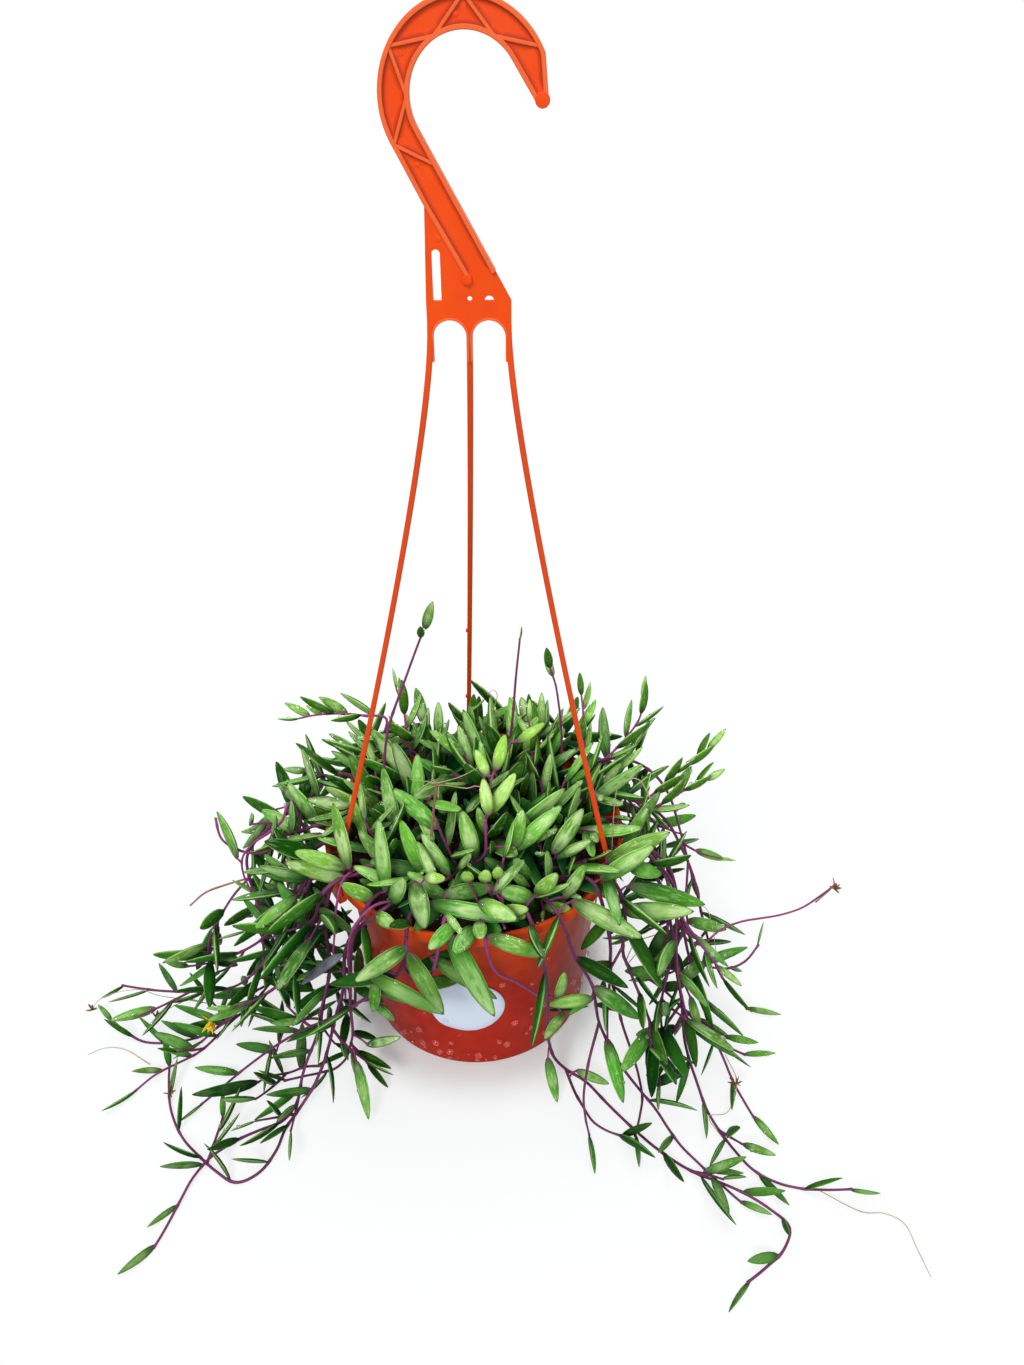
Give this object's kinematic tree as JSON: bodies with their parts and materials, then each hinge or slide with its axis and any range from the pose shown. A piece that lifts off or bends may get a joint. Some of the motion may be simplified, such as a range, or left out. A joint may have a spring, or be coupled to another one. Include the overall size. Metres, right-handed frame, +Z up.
{
  "type": "potted string of pickles",
  "caption": "Trailing string of pickles in a round plastic hanging pot with a moulded hook hanger; it stands on its base, and its stems trail onto the surface.",
  "frame": {"origin": "centre of the pot's base, on the surface it stands on", "axes": "+Z up; the hook lies in the XZ plane and opens towards +X; the label faces -Y"},
  "size_m": [0.4254, 0.3109, 0.4689],
  "materials": {
    "terracotta_plastic": "moulded, semi-gloss",
    "orange_plastic": "moulded, semi-gloss",
    "potting_soil": "damp, crumbly",
    "paper_label": "blank, smooth",
    "leaf": "waxy",
    "stalk": "smooth"
  },
  "bodies": {
    "root": {"crown_stem_1": "leaf", "crown_stem_10": "leaf", "crown_stem_11": "leaf", "crown_stem_12": "leaf", "crown_stem_13": "leaf", "crown_stem_14": "leaf", "crown_stem_15": "leaf", "crown_stem_16": "leaf", "crown_stem_17": "leaf", "crown_stem_18": "leaf", "crown_stem_2": "leaf", "crown_stem_3": "leaf", "crown_stem_4": "leaf", "crown_stem_5": "leaf", "crown_stem_6": "leaf", "crown_stem_7": "leaf", "crown_stem_8": "leaf", "crown_stem_9": "leaf", "dried_flower_stalk": "stalk", "hanger": "orange_plastic", "label": "paper_label", "leafy_stalk": "stalk", "pot": "terracotta_plastic", "small_bud_stalk": "stalk", "soil": "potting_soil", "tall_bud_stalk": "stalk", "vine_back_1": "leaf", "vine_back_2": "leaf", "vine_back_3": "leaf", "vine_back_4": "leaf", "vine_back_5": "leaf", "vine_back_6": "leaf", "vine_front_1": "leaf", "vine_front_2": "leaf", "vine_left_1": "leaf", "vine_left_10": "leaf", "vine_left_2": "leaf", "vine_left_3": "leaf", "vine_left_4": "leaf", "vine_left_5": "leaf", "vine_left_6": "leaf", "vine_left_7": "leaf", "vine_left_8": "leaf", "vine_left_9": "leaf", "vine_right_1": "leaf", "vine_right_2": "leaf", "vine_right_3": "leaf", "vine_right_4": "leaf", "vine_right_5": "leaf", "vine_right_6": "leaf", "vine_right_7": "leaf", "vine_right_8": "leaf", "vine_right_9": "leaf"}
  },
  "joints": []
}
